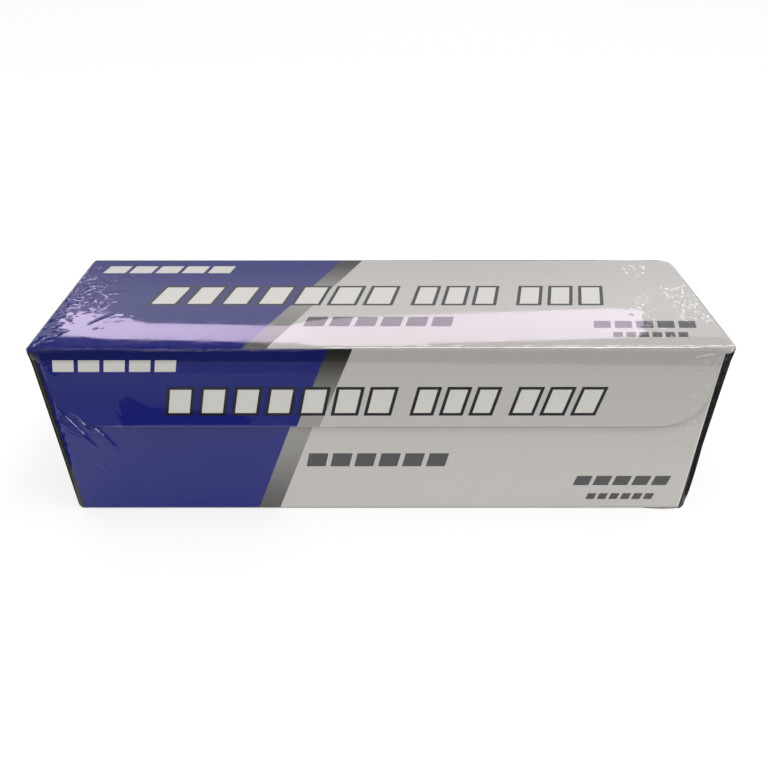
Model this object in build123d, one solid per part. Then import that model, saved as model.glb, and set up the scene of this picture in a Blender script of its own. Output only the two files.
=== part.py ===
from build123d import *
import os

# A sealed carton of kitchen foil, lying on its bottom panel with the lid's tuck flap at the front.
# The long side runs along X, the front faces -Y, and Z = 0 is the bottom panel.
# The pack is sealed, so the carton and what it holds are one closed solid.

# Driving dimensions, in millimetres
CARTON_LENGTH = 318.4  # over the outer end flaps, measured at the folds
CARTON_DEPTH = 92.0  # from the front panel to the back panel
CARTON_HEIGHT = 100.0  # from the bottom panel to the lid
BOARD = 0.8  # thickness of the folding board

# Folds, measured on the outside
LONG_FOLD_RADIUS = 1.8  # the four folds that run along the carton
END_FOLD_RADIUS = 2.0  # the short fold at the top of each end
END_FOOT_RADIUS = 3.6  # the short fold at the bottom of each end, pressed rounder
END_BULGE = 0.6  # how far each end swells at half height

# Upright edges, each pressed round by a different amount
FRONT_LEFT_ROUND = 2.6
FRONT_RIGHT_ROUND = 4.5
BACK_RIGHT_ROUND = 9.0
BACK_LEFT_ROUND = 4.5

# Lid flap, which hangs over the front panel
LID_FLAP_DROP = 44.0  # from the lid down to the flap's lower edge
LID_FLAP_CORNER = 21.0  # radius of the flap's two lower corners
LID_FLAP_SIDE_GAP = 6.0  # from the end fold in to the flap's side edge
LID_FLAP_ROOM = 0.15  # gap behind the flap at its hinge
LID_FLAP_SPRING = 0.7  # how much further the flap's lower edge stands off

# Outer end flaps, hinged on the bottom fold and glued down
END_FLAP_TOP_GAP = 3.0  # from the flap's free edge up to the lid
END_FLAP_SIDE_GAP = 3.5  # from the front and back panels in to the flap's foot
END_FLAP_TAPER = 2.0  # how much each side edge leans in by the free edge
END_FLAP_CORNER = 7.0  # radius of the flap's two free corners

# Sizes that follow from the driving dimensions
HALF_LENGTH = CARTON_LENGTH / 2
HALF_DEPTH = CARTON_DEPTH / 2
HALF_HEIGHT = CARTON_HEIGHT / 2
SWOLLEN_HALF_LENGTH = HALF_LENGTH + END_BULGE
BODY_HALF_LENGTH = HALF_LENGTH - BOARD  # the ends under the outer end flaps
LID_HALF_DEPTH = HALF_DEPTH + BOARD  # the lid's fold and flap stand one board in front of the body
LID_LIP = CARTON_HEIGHT - LONG_FOLD_RADIUS - BOARD  # where the fold ends and the flap hangs on
LID_FLAP_EDGE = CARTON_HEIGHT - LID_FLAP_DROP
LID_FLAP_HALF_LENGTH = HALF_LENGTH - LID_FLAP_SIDE_GAP
END_FLAP_EDGE = CARTON_HEIGHT - END_FLAP_TOP_GAP
END_FLAP_HALF_FOOT = HALF_DEPTH - END_FLAP_SIDE_GAP
END_FLAP_HALF_EDGE = END_FLAP_HALF_FOOT - END_FLAP_TAPER


def plan_block(front: float, low: float, high: float) -> Part:
    """The outline seen from above, with each upright edge pressed round, between two heights."""
    rounds = {
        (-SWOLLEN_HALF_LENGTH, -front): FRONT_LEFT_ROUND,
        (SWOLLEN_HALF_LENGTH, -front): FRONT_RIGHT_ROUND,
        (SWOLLEN_HALF_LENGTH, HALF_DEPTH): BACK_RIGHT_ROUND,
        (-SWOLLEN_HALF_LENGTH, HALF_DEPTH): BACK_LEFT_ROUND,
    }
    with BuildPart() as block:
        with BuildSketch(Plane.XY.offset(low)) as outline:
            with BuildLine():
                Polyline(*rounds, close=True)
            make_face()
            for corner, radius in rounds.items():
                fillet(outline.vertices().sort_by_distance(corner)[0], radius)
        extrude(amount=high - low)
    return block.part


def section_block() -> Part:
    """The outline seen from the end, with the long folds and the lid's lip, carried along the carton."""
    folds = [
        (-HALF_DEPTH, 0),
        (-LID_HALF_DEPTH, CARTON_HEIGHT),
        (HALF_DEPTH, CARTON_HEIGHT),
        (HALF_DEPTH, 0),
    ]
    front_foot, front_head, back_head, back_foot = folds
    lip = [(-HALF_DEPTH, LID_LIP), (-LID_HALF_DEPTH, LID_LIP)]
    with BuildPart() as block:
        with BuildSketch(Plane.YZ) as outline:
            with BuildLine():
                Polyline(front_foot, *lip, front_head, back_head, back_foot, close=True)
            make_face()
            for fold in folds:
                fillet(outline.vertices().sort_by_distance(fold)[0], LONG_FOLD_RADIUS)
        extrude(amount=SWOLLEN_HALF_LENGTH, both=True)
    return block.part


def elevation_block(half_length: float) -> Part:
    """The outline seen from the front, with swollen ends, carried through the depth."""
    low_left = (-half_length, 0)
    low_right = (half_length, 0)
    high_right = (half_length, CARTON_HEIGHT)
    high_left = (-half_length, CARTON_HEIGHT)
    swell = half_length + END_BULGE
    with BuildPart() as block:
        with BuildSketch(Plane.XZ) as outline:
            with BuildLine():
                Line(low_left, low_right)
                ThreePointArc(low_right, (swell, HALF_HEIGHT), high_right)
                Line(high_right, high_left)
                ThreePointArc(high_left, (-swell, HALF_HEIGHT), low_left)
            make_face()
            fillet(outline.vertices().group_by(Axis.Y)[0], END_FOOT_RADIUS)
            fillet(outline.vertices().group_by(Axis.Y)[-1], END_FOLD_RADIUS)
        extrude(amount=CARTON_DEPTH, both=True)
    return block.part


def end_flap_prism() -> Part:
    """The outer end flaps' shape, seen from the end, carried along the carton."""
    with BuildPart() as prism:
        with BuildSketch(Plane.YZ) as outline:
            with BuildLine():
                Polyline(
                    (-END_FLAP_HALF_FOOT, 0),
                    (END_FLAP_HALF_FOOT, 0),
                    (END_FLAP_HALF_EDGE, END_FLAP_EDGE),
                    (-END_FLAP_HALF_EDGE, END_FLAP_EDGE),
                    close=True,
                )
            make_face()
            fillet(outline.vertices().group_by(Axis.Y)[-1], END_FLAP_CORNER)
        extrude(amount=SWOLLEN_HALF_LENGTH, both=True)
    return prism.part


def lid_flap() -> Part:
    """The tuck flap: one board that hangs from the lid's lip, its lower edge sprung off the front panel."""
    hinge = -HALF_DEPTH - LID_FLAP_ROOM
    with BuildPart() as flap:
        with BuildSketch(Plane.YZ):
            with BuildLine():
                Polyline(
                    (hinge, LID_LIP),
                    (-LID_HALF_DEPTH, LID_LIP),
                    (-LID_HALF_DEPTH - LID_FLAP_SPRING, LID_FLAP_EDGE),
                    (hinge - LID_FLAP_SPRING, LID_FLAP_EDGE),
                    close=True,
                )
            make_face()
        extrude(amount=LID_FLAP_HALF_LENGTH, both=True)
        with BuildSketch(Plane.XZ) as outline:
            with Locations((0, LID_FLAP_EDGE)):
                Rectangle(2 * LID_FLAP_HALF_LENGTH, LID_LIP - LID_FLAP_EDGE, align=(Align.CENTER, Align.MIN))
            fillet(outline.vertices().group_by(Axis.Y)[0], LID_FLAP_CORNER)
        extrude(amount=CARTON_DEPTH, both=True, mode=Mode.INTERSECT)
    return flap.part


def lid_slab() -> Part:
    """The space from the lid's lip up, which the lid fills to the outer end flaps' length."""
    with BuildPart() as slab:
        with Locations((0, 0, LID_LIP)):
            Box(
                2 * SWOLLEN_HALF_LENGTH,
                2 * LID_HALF_DEPTH,
                CARTON_HEIGHT - LID_LIP,
                align=(Align.CENTER, Align.CENTER, Align.MIN),
            )
    return slab.part


def foil_carton() -> Part:
    """The closed carton: the folded body, the lid, the two glued end flaps and the lid's tuck flap."""
    plan = plan_block(HALF_DEPTH, 0, LID_LIP) + plan_block(LID_HALF_DEPTH, LID_LIP, CARTON_HEIGHT)
    folded = plan & section_block()
    body = folded & elevation_block(BODY_HALF_LENGTH)
    outer = folded & elevation_block(HALF_LENGTH)
    return body + (outer & end_flap_prism()) + (outer & lid_slab()) + lid_flap()


carton = foil_carton()
carton.label = "foil_carton"
os.makedirs("parts", exist_ok=True)
export_step(carton, "parts/foil_carton.step")
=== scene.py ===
"""Looks of a sealed carton of kitchen foil: printed board, wrinkled clear film and its heat seal."""

import logging
import math
import random
from dataclasses import dataclass
from enum import Enum
from typing import Any, Optional, Sequence, Union

import bmesh
import bpy
import numpy as np
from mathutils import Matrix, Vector


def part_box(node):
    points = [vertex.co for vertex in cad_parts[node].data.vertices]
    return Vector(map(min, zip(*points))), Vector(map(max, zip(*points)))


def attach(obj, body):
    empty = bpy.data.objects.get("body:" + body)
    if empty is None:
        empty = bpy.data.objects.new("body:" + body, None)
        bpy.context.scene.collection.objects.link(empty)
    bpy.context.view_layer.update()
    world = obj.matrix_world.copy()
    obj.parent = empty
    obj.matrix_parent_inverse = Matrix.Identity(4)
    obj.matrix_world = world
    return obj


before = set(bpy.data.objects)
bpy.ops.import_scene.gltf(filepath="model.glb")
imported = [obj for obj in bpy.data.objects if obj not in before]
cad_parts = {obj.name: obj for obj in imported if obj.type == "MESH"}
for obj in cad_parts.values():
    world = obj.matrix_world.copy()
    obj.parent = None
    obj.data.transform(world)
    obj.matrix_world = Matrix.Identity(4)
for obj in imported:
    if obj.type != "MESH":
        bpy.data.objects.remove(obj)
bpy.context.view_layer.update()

LOG = logging.getLogger("foil_carton")
MM = 0.001
CARTON_NODE = "foil_carton"
FILM_SLOT = "clear_film"
FACING = 0.7  # how squarely a face looks one way, to count as a panel on that side
EIGHTH_TURN = math.pi / 4

Place = tuple[float, float]
Range = tuple[float, float]
Point = tuple[float, float, float]
Colour = tuple[float, float, float]
Ramp = tuple[str, float, float]
Material = bpy.types.Material
Mesh = bpy.types.Mesh
Piece = bpy.types.Object
Socket = bpy.types.NodeSocket
Tree = bpy.types.NodeTree


class Panel(Enum):
    """Panels of the carton that carry tiles."""

    LID = "lid"
    FRONT = "front"


class Skin(Enum):
    """Faces of the film that a crease can lie on."""

    FRONT = "front"
    BACK = "back"
    LID = "lid"
    LEFT = "left"
    RIGHT = "right"


@dataclass(frozen=True)
class CartonSizes:
    """Sizes of the CAD carton that the looks follow, in millimetres."""

    low: Point  # lowest corner of the CAD carton
    high: Point  # highest corner of the CAD carton
    board: float = 0.8  # thickness of the board
    end_bulge: float = 0.6  # how far each end swells at half height
    end_foot: float = 3.6  # radius of the fold at the bottom of each end
    lip: float = 97.4  # height at which the lid's fold ends and its flap hangs on
    flap_edge: float = 56.0  # height of the lid flap's lower edge
    flap_half_length: float = 153.2  # half the length of the lid flap
    flap_corner: float = 21.0  # radius of the flap's lower corners
    flap_spring: float = 0.7  # how far the flap's lower edge springs out
    # Radius of each upright edge, after the signs of its x and y
    rounds: tuple[tuple[int, int, float], ...] = ((-1, -1, 2.6), (1, -1, 4.5), (1, 1, 9.0), (-1, 1, 4.5))

    @classmethod
    def from_frame(cls, node: str) -> "CartonSizes":
        """Reads the box of a CAD node from the frame."""
        low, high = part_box(node)
        return cls(tuple(float(v) / MM for v in low), tuple(float(v) / MM for v in high))

    @property
    def half_length(self) -> float:
        """Half the length at the end folds."""
        return self.high[0] - self.end_bulge

    @property
    def height(self) -> float:
        """Height of the lid."""
        return self.high[2]

    @property
    def lid_zone(self) -> float:
        """Height from which a level face belongs to the lid."""
        return self.height - 2.0

    @property
    def lid_front(self) -> float:
        """y of the lid's front, above the flap."""
        return self.low[1] + self.flap_spring

    @property
    def panel_front(self) -> float:
        """y of the front panel, one board behind the lid's front."""
        return self.lid_front + self.board


class Signal:
    """A value in a node tree, which takes part in sums as a number does."""

    def __init__(self, graph: "Graph", socket: Socket) -> None:
        """Takes the graph and the socket that puts the value out."""
        self.graph = graph
        self.socket = socket

    def __add__(self, other: "Value") -> "Signal":
        """The sum."""
        return self.graph.math("ADD", self, other)

    def __sub__(self, other: "Value") -> "Signal":
        """The difference."""
        return self.graph.math("SUBTRACT", self, other)

    def __rsub__(self, other: float) -> "Signal":
        """A number less this value."""
        return self.graph.math("SUBTRACT", other, self)

    def __mul__(self, other: "Value") -> "Signal":
        """The product, which is where two masks meet."""
        return self.graph.math("MULTIPLY", self, other)

    def __truediv__(self, other: "Value") -> "Signal":
        """The quotient."""
        return self.graph.math("DIVIDE", self, other)

    def __pow__(self, power: float) -> "Signal":
        """The power."""
        return self.graph.math("POWER", self, power)

    def __or__(self, other: "Value") -> "Signal":
        """The larger value, which is where either of two masks is."""
        return self.graph.math("MAXIMUM", self, other)

    def __and__(self, other: "Value") -> "Signal":
        """The smaller value."""
        return self.graph.math("MINIMUM", self, other)

    def __gt__(self, other: "Value") -> "Signal":
        """A mask that is one where this value is above the other."""
        return self.graph.math("GREATER_THAN", self, other)

    def __lt__(self, other: "Value") -> "Signal":
        """A mask that is one where this value is below the other."""
        return self.graph.math("LESS_THAN", self, other)

    def __abs__(self) -> "Signal":
        """The value without its sign."""
        return self.graph.math("ABSOLUTE", self)

    def ramp(self, start: "Value", end: "Value", low: "Value" = 0.0, high: "Value" = 1.0) -> "Signal":
        """A smooth step from low to high, while this value goes from start to end."""
        inputs = dict(enumerate((self, start, end, low, high)))
        return self.graph.out("ShaderNodeMapRange", inputs, interpolation_type="SMOOTHSTEP")


Value = Union[float, Signal]


class Graph:
    """Adds nodes to one node tree and joins them."""

    def __init__(self, tree: Tree) -> None:
        """Takes the tree to work in."""
        self.tree = tree

    def node(self, kind: str, inputs: Optional[dict[Any, Any]] = None, **settings: Any) -> bpy.types.Node:
        """Adds one node.

        Args:
            kind: Blender's name for the node type.
            inputs: signals and constants for its inputs, by their number or name.
            settings: properties to set on it.

        Returns:
            The node.
        """
        made = self.tree.nodes.new(kind)
        for name, value in settings.items():
            setattr(made, name, value)
        for key, value in (inputs or {}).items():
            if isinstance(value, Signal):
                self.tree.links.new(value.socket, made.inputs[key])
            else:
                made.inputs[key].default_value = value
        return made

    def out(self, kind: str, inputs: Optional[dict[Any, Any]] = None, output: Union[int, str] = 0,
            **settings: Any) -> Signal:
        """Adds one node and takes one of its outputs, by its number or name."""
        return Signal(self, self.node(kind, inputs, **settings).outputs[output])

    def math(self, operation: str, *values: Value) -> Signal:
        """Adds a Math node that works on the values."""
        return self.out("ShaderNodeMath", dict(enumerate(values)), operation=operation)

    def group(self, tree: Tree, *values: Value) -> list[Signal]:
        """Places a shader node group, feeds its inputs in order and takes all its outputs."""
        made = self.node("ShaderNodeGroup", dict(enumerate(values)), node_tree=tree)
        return [Signal(self, socket) for socket in made.outputs]

    def split(self, vector: Signal) -> list[Signal]:
        """The three parts of a vector."""
        return [Signal(self, part) for part in self.node("ShaderNodeSeparateXYZ", {0: vector}).outputs]

    def mix(self, share: Value, first: Any, second: Any) -> Signal:
        """Mixes two colours, each a signal or three numbers, by the share of the second."""
        one, two = (each if isinstance(each, Signal) else (*each, 1.0) for each in (first, second))
        return self.out("ShaderNodeMix", {0: share, 6: one, 7: two}, 2, data_type="RGBA")

    def noise(self, place: Signal, scale: Value, detail: float, seed: Value) -> Signal:
        """Noise of about 0 to 1, with so many waves in a unit and octaves of detail."""
        inputs = {"Vector": place, "Scale": scale, "Detail": detail, "W": seed}
        return self.out("ShaderNodeTexNoise", inputs, noise_dimensions="4D")

    def surface(self, shader: Signal) -> None:
        """Makes a shader the surface of the material."""
        self.node("ShaderNodeOutputMaterial", {"Surface": shader})

    def finish(self, kind: str, results: dict[str, Signal]) -> Tree:
        """Ends a node group.

        Args:
            kind: type of its outputs.
            results: what it puts out, by name.

        Returns:
            The group.
        """
        for name in results:
            self.tree.interface.new_socket(name, in_out="OUTPUT", socket_type="NodeSocket" + kind)
        self.node("NodeGroupOutput", results)
        return self.tree


def fresh_material(name: str) -> tuple[Material, Graph]:
    """Makes a material without nodes.

    Args:
        name: name of the material.

    Returns:
        The material and its graph.
    """
    material = bpy.data.materials.new(name)
    material.use_nodes = True
    material.node_tree.nodes.clear()
    return material, Graph(material.node_tree)


def start_group(name: str, kind: str, inputs: dict[str, str]) -> tuple[Graph, dict[str, Signal]]:
    """Starts a node group.

    Args:
        name: name of the group.
        kind: Blender's name for the tree type.
        inputs: type of each input, by name.

    Returns:
        The group's graph and what arrives at its inputs, by name.
    """
    tree = bpy.data.node_groups.new(name, kind)
    for label, socket in inputs.items():
        tree.interface.new_socket(label, in_out="INPUT", socket_type="NodeSocket" + socket)
    graph = Graph(tree)
    source = graph.node("NodeGroupInput")
    return graph, {label: Signal(graph, source.outputs[label]) for label in inputs}


def add_piece(name: str, data: bpy.types.ID) -> Piece:
    """Adds an object to the scene.

    Args:
        name: name of the object.
        data: its mesh, light or camera.

    Returns:
        The object.
    """
    made = bpy.data.objects.new(name, data)
    bpy.context.scene.collection.objects.link(made)
    return made


@dataclass(frozen=True)
class PrintFinish:
    """Inks and board of the carton, as linear colours."""

    blue: Colour = (0.0060, 0.0105, 0.1520)
    # shaded copy of the blue, painted in the shade band under the front fold
    shaded_blue: Colour = (0.0040, 0.0070, 0.1080)
    grey: Colour = (0.470, 0.452, 0.425)
    stripe_dark: Colour = (0.014, 0.014, 0.010)
    stripe_pale: Colour = (0.300, 0.290, 0.270)
    tile: Colour = (0.600, 0.585, 0.545)
    outline: Colour = (0.012, 0.012, 0.016)
    dark_tile: Colour = (0.060, 0.060, 0.062)
    end: Colour = (0.012, 0.012, 0.013)
    core: Colour = (0.360, 0.330, 0.290)
    # pale olive, painted as sheen along the left end's rounded edge
    olive_sheen: Colour = (0.060, 0.060, 0.042)
    fold: Colour = (0.700, 0.690, 0.680)
    roughness: float = 0.42
    specular: float = 0.03
    grain: float = 900.0  # waves of the board's grain in a metre
    grain_depth: float = 0.05  # depth of that grain, in millimetres
    speckle: float = 520.0  # waves of the ends' speckle in a metre
    blotch: float = 55.0  # waves of the wear along the folds in a metre


@dataclass(frozen=True)
class Stripe:
    """A slanted stripe between the two colour fields of one panel, in millimetres."""

    foot: float  # x of its left edge at the panel's foot
    lean: float  # how far it moves along x in each millimetre up the panel
    width: float  # its width along x
    tones: tuple[float, float, float]  # how pale it is at the foot, at the middle and at the head
    middle: float  # place of its middle tone
    head: float  # the panel's head

    @property
    def values(self) -> tuple[float, ...]:
        """The stripe's numbers, in the order in which its node group takes them."""
        return (self.foot, self.lean, self.width, self.middle, self.head, *self.tones)


@dataclass(frozen=True)
class TileRow:
    """A row of slanted tiles printed on one panel, in millimetres."""

    panel: Panel
    start: float  # x of its left end, at its foot
    length: float
    low: float  # its foot on the panel
    height: float
    count: int  # number of tiles
    gap: float = 2.0  # space between tiles
    rim: float = 0.0  # width of the outline, or none for plain tiles
    pale: bool = False  # whether a plain tile is pale

    @property
    def values(self) -> tuple[float, ...]:
        """The row's numbers, in the order in which its node group takes them."""
        return (self.start, self.length, self.low, self.height, float(self.count), self.gap, self.rim)


TILE_ROWS = (
    TileRow(Panel.FRONT, -103.0, 110.0, 62.6, 16.5, 7, 2.6, 1.6),
    TileRow(Panel.FRONT, 13.0, 42.0, 62.6, 16.5, 3, 2.6, 1.6),
    TileRow(Panel.FRONT, 60.0, 44.0, 62.6, 16.5, 3, 2.6, 1.6),
    TileRow(Panel.FRONT, -38.0, 72.0, 29.5, 8.6, 6, 2.4),
    TileRow(Panel.FRONT, 98.0, 50.0, 16.6, 6.4, 5),
    TileRow(Panel.FRONT, 106.0, 36.0, 6.8, 4.2, 6, 1.6),
    TileRow(Panel.FRONT, -150.0, 58.0, 87.4, 6.2, 5, pale=True),
    TileRow(Panel.LID, -116.0, 124.0, -7.0, 21.0, 7, 2.8, 1.7),
    TileRow(Panel.LID, 14.0, 45.0, -7.0, 21.0, 3, 2.8, 1.7),
    TileRow(Panel.LID, 66.0, 46.0, -7.0, 21.0, 3, 2.8, 1.7),
    TileRow(Panel.LID, -37.0, 72.0, -27.4, 9.0, 6, 2.4),
    TileRow(Panel.LID, 99.0, 50.0, -29.0, 6.6, 5),
    TileRow(Panel.LID, 106.0, 36.0, -37.2, 4.4, 6, 1.6),
    TileRow(Panel.LID, -149.0, 70.0, 29.0, 8.4, 5, 2.2, pale=True),
)


@dataclass(frozen=True)
class Spot:
    """A point of the printed board, as signals of its material."""

    place: Signal  # in metres
    along: Signal  # x, in millimetres
    across: Signal  # y, in millimetres
    up: Signal  # z, in millimetres
    end_on: Signal  # how far the board faces +x
    front_on: Signal  # how far it faces +y
    lid_on: Signal  # how far it faces up
    front: Signal  # mask of the front, flap and panel
    back: Signal  # mask of the back panel
    lid: Signal  # mask of the lid
    flap: Signal  # mask of the lid flap
    panel: Signal  # mask of the front panel


@dataclass
class CartonPrint:
    """The print on the CAD carton: two colour fields, a slanted stripe, tile rows and dark ends."""

    sizes: CartonSizes
    finish: PrintFinish = PrintFinish()
    flap_stripe: Stripe = Stripe(-62.65, 0.3876, 11.0, (1.00, 0.98, 0.00), 60.0, 100.0)
    front_stripe: Stripe = Stripe(-64.80, 0.3745, 10.9, (0.27, 0.90, 0.90), 56.0, 100.0)
    lid_stripe: Stripe = Stripe(-41.75, 0.4450, 11.0, (0.32, 0.85, 0.07), 0.0, 46.0)
    end_line: Range = (154.65, 156.3)  # how far from the middle the dark ends start, right and left
    end_lean: float = 1.2  # how much further out the right one starts at the foot
    end_head: float = 96.5  # height up to which the ends are dark
    band_foot: float = 92.2  # height at which the painted shade band under the front fold starts
    band_lean: float = 0.011  # how much lower it starts for each millimetre to the right
    band_blur: float = 0.6  # half the width of its soft edge
    flap_cover: float = 1.05  # how much of the front panel the sprung flap hides from above
    rim_fade: Range = (-142.0, -128.0)  # where along x the flap's pale rim fades in
    line_fade: Range = (-60.0, 0.0)  # where along x the painted shade line under the flap's edge fades in
    shade_reach: float = 6.0  # how far the flap's painted shadow goes down the front panel
    streak_out: float = 1.5  # from the left end's line out to its painted olive sheen
    crease_width: float = 0.55  # width of the pale crease beside the right end's line
    tile_lean: float = 0.22  # slant of the tiles

    def dress(self, node: Piece) -> None:
        """Gives the CAD carton its print.

        Args:
            node: the CAD node.
        """
        material = self.material()
        node.data.materials.clear()
        node.data.materials.append(material)
        LOG.info("%s: printed board on %d faces", node.name, len(node.data.polygons))

    def tile_group(self) -> Tree:
        """Makes the node group that masks one row of slanted tiles.

        Returns:
            The group, with the masks of the tiles and of their outlines.
        """
        names = ("Along", "Up", "Start", "Length", "Low", "Height", "Count", "Gap", "Rim", "Lean")
        graph, given = start_group("slanted_tiles", "ShaderNodeTree", dict.fromkeys(names, "Float"))
        along, up, start, length, low, height, count, gap, rim, lean = given.values()
        rise = up - low
        share = (along - start - rise * lean) / length
        pitch = length / count
        place = graph.math("FRACT", share * count) * pitch
        half_width = (pitch - gap) * 0.5
        half_height = height * 0.5
        depth = (half_width - abs(place - half_width)) & (half_height - abs(rise - half_height))
        tile = (share > 0.0) * (share < 1.0) * (depth > 0.0)
        return graph.finish("Float", {"Tile": tile, "Outline": tile * (depth < rim)})

    def field_group(self) -> Tree:
        """Makes the node group that masks a panel's blue field and stripe.

        Returns:
            The group, with the masks of the field and the stripe and the stripe's tone.
        """
        names = ("Along", "Up", "Foot", "Lean", "Width", "Middle", "Head", "Low Tone", "Middle Tone",
                 "High Tone", "Base")
        graph, given = start_group("colour_fields", "ShaderNodeTree", dict.fromkeys(names, "Float"))
        along, up, foot, lean, width, middle, head, low_tone, middle_tone, high_tone, base = given.values()
        into = along - (foot + up * lean)
        stripe = (into > 0.0) * (into < width)
        rising = up.ramp(base, middle, low_tone, middle_tone)
        falling = up.ramp(middle, head, 0.0, high_tone - middle_tone)
        return graph.finish("Float", {"Field": into < 0.0, "Stripe": stripe, "Tone": rising + falling})

    def spot(self, graph: Graph) -> Spot:
        """Reads a point of the board.

        Args:
            graph: the material's graph.

        Returns:
            The point, with the masks of the panels that it can lie on.
        """
        place = graph.out("ShaderNodeTexCoord", output="Object")
        scaled = graph.out("ShaderNodeVectorMath", {0: place, "Scale": 1.0 / MM}, operation="SCALE")
        along, across, up = graph.split(scaled)
        end_on, front_on, lid_on = graph.split(graph.out("ShaderNodeNewGeometry", output="True Normal"))
        front = front_on < -FACING
        back = front_on > FACING
        lid = (lid_on > FACING) * (up > self.sizes.lid_zone)
        flap = across < self.sizes.panel_front - 0.5 * self.sizes.board
        return Spot(place, along, across, up, end_on, front_on, lid_on, front, back, lid,
                    front * flap, front * (1.0 - flap))

    def fields(self, graph: Graph, spot: Spot, band: Signal) -> Signal:
        """Prints the two colour fields and the stripe of each panel.

        Args:
            graph: the material's graph.
            spot: the point.
            band: mask of the painted shade band under the front fold.

        Returns:
            The print.
        """
        inks, group = self.finish, self.field_group()
        colour: Any = inks.grey
        # painted shade: the blue turns to its shaded copy in the band under the front fold
        blue = graph.mix(band, inks.blue, inks.shaded_blue)
        panels = (
            (spot.panel, spot.along, spot.up, self.front_stripe, 0.0),
            (spot.flap, spot.along, spot.up, self.flap_stripe, 0.0),
            (spot.lid, spot.along, spot.across, self.lid_stripe, self.sizes.low[1]),
            (spot.back, spot.along * -1.0, spot.up, self.front_stripe, 0.0),
        )
        for mask, along, up, lines, base in panels:
            field, stripe, tone = graph.group(group, along, up, *lines.values, base)
            colour = graph.mix(mask * field, colour, blue)
            colour = graph.mix(mask * stripe, colour, graph.mix(tone, inks.stripe_dark, inks.stripe_pale))
        return colour

    def tiles(self, graph: Graph, spot: Spot, colour: Signal) -> Signal:
        """Prints the rows of tiles.

        Args:
            graph: the material's graph.
            spot: the point.
            colour: the print so far.

        Returns:
            The print.
        """
        inks, group = self.finish, self.tile_group()
        for row in TILE_ROWS:
            rise, mask = (spot.across, spot.lid) if row.panel is Panel.LID else (spot.up, spot.front)
            tile, outline = graph.group(group, spot.along, rise, *row.values, self.tile_lean)
            fill = inks.tile if row.rim > 0.0 or row.pale else inks.dark_tile
            colour = graph.mix(mask * tile, colour, fill)
            if row.rim > 0.0:
                colour = graph.mix(mask * outline, colour, inks.outline)
        return colour

    def flap_shade(self, graph: Graph, spot: Spot, colour: Signal) -> Signal:
        """Adds the pale rim of the lid flap, and painted shade on the front panel under it: a soft painted
        shadow and a dark painted line under the flap's edge.

        Args:
            graph: the material's graph.
            spot: the point.
            colour: the print so far.

        Returns:
            The shaded print.
        """
        size = self.sizes
        out = abs(spot.along) - (size.flap_half_length - size.flap_corner)
        down = size.flap_edge + size.flap_corner - (spot.up + spot.panel * self.flap_cover)
        squares = (out | 0.0) ** 2.0 + (down | 0.0) ** 2.0
        gap = graph.math("SQRT", squares) + ((out | down) & 0.0) - size.flap_corner
        rim = spot.flap * spot.along.ramp(*self.rim_fade) * gap.ramp(-0.8, -0.2, 0.0, 0.14)
        colour = graph.mix(rim, colour, self.finish.fold)
        # painted shadow that the flap casts, fading down the front panel
        soft = gap.ramp(0.0, self.shade_reach, 0.15, 0.0)
        # painted shade line in the gap under the flap's edge
        line = gap.ramp(0.3, 0.8, 0.55, 0.0) * spot.along.ramp(*self.line_fade, 0.15, 1.0)
        return graph.mix(spot.panel * (soft | line), colour, self.finish.outline)

    def ends(self, graph: Graph, spot: Spot, colour: Signal) -> tuple[Signal, Signal]:
        """Prints the dark ends, which go a little way round the upright edges.

        Args:
            graph: the material's graph.
            spot: the point.
            colour: the print so far.

        Returns:
            The print and the mask of the ends.
        """
        inks = self.finish
        right, left = self.end_line
        low = spot.up < self.end_head
        past = spot.along - spot.up.ramp(0.0, self.sizes.height, right + self.end_lean, right)
        end = ((past > 0.0) | (spot.along < -left)) * low
        speckle = graph.noise(spot.place, inks.speckle, 2.0, 6.0)
        ink = graph.mix(speckle.ramp(0.42, 0.66, 0.0, 0.05), inks.end, inks.core)
        colour = graph.mix(end, colour, ink)
        # painted sheen: a pale olive streak along the middle of the left end's rounded edge
        painted_sheen = abs(spot.along + (left + self.streak_out)).ramp(0.1, 0.6, 1.0, 0.0)
        colour = graph.mix(painted_sheen * end * spot.front, colour, inks.olive_sheen)
        crease = (past > -self.crease_width) * (past < 0.0) * (spot.front | spot.back) * low * 0.7
        return graph.mix(crease, colour, inks.fold), end

    def edges(self, graph: Graph, spot: Spot, colour: Signal, end: Signal) -> Signal:
        """Shows the board's core at its cut edges, and wear along the folds.

        Args:
            graph: the material's graph.
            spot: the point.
            colour: the print so far.
            end: mask of the dark ends, which show no wear.

        Returns:
            The print.
        """
        size = self.sizes
        upper_cut = (spot.lid_on > FACING) * (spot.up < size.lid_zone)
        lower_cut = (spot.lid_on < -FACING) * (spot.up > 1.0)
        side_cut = (abs(spot.end_on) > FACING) * (abs(spot.along) < size.flap_half_length + 0.2)
        colour = graph.mix(upper_cut | lower_cut | side_cut, colour, self.finish.core)
        slope = abs(spot.front_on) & abs(spot.lid_on)
        blotch = graph.noise(spot.place, self.finish.blotch, 3.0, 9.0)
        worn = slope.ramp(0.15, 0.45) * blotch.ramp(0.40, 0.70, 0.01, 0.05) * (1.0 - end)
        return graph.mix(worn, colour, self.finish.fold)

    def material(self) -> Material:
        """Builds the printed board.

        Returns:
            The material.
        """
        inks = self.finish
        material, graph = fresh_material("printed_board")
        spot = self.spot(graph)
        # painted shade band under the front fold, starting lower towards the right
        raised = spot.up + (spot.along | 0.0) * self.band_lean
        band = spot.front * raised.ramp(self.band_foot - self.band_blur, self.band_foot + self.band_blur)
        colour = self.tiles(graph, spot, self.fields(graph, spot, band))
        colour = self.flap_shade(graph, spot, colour)
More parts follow.
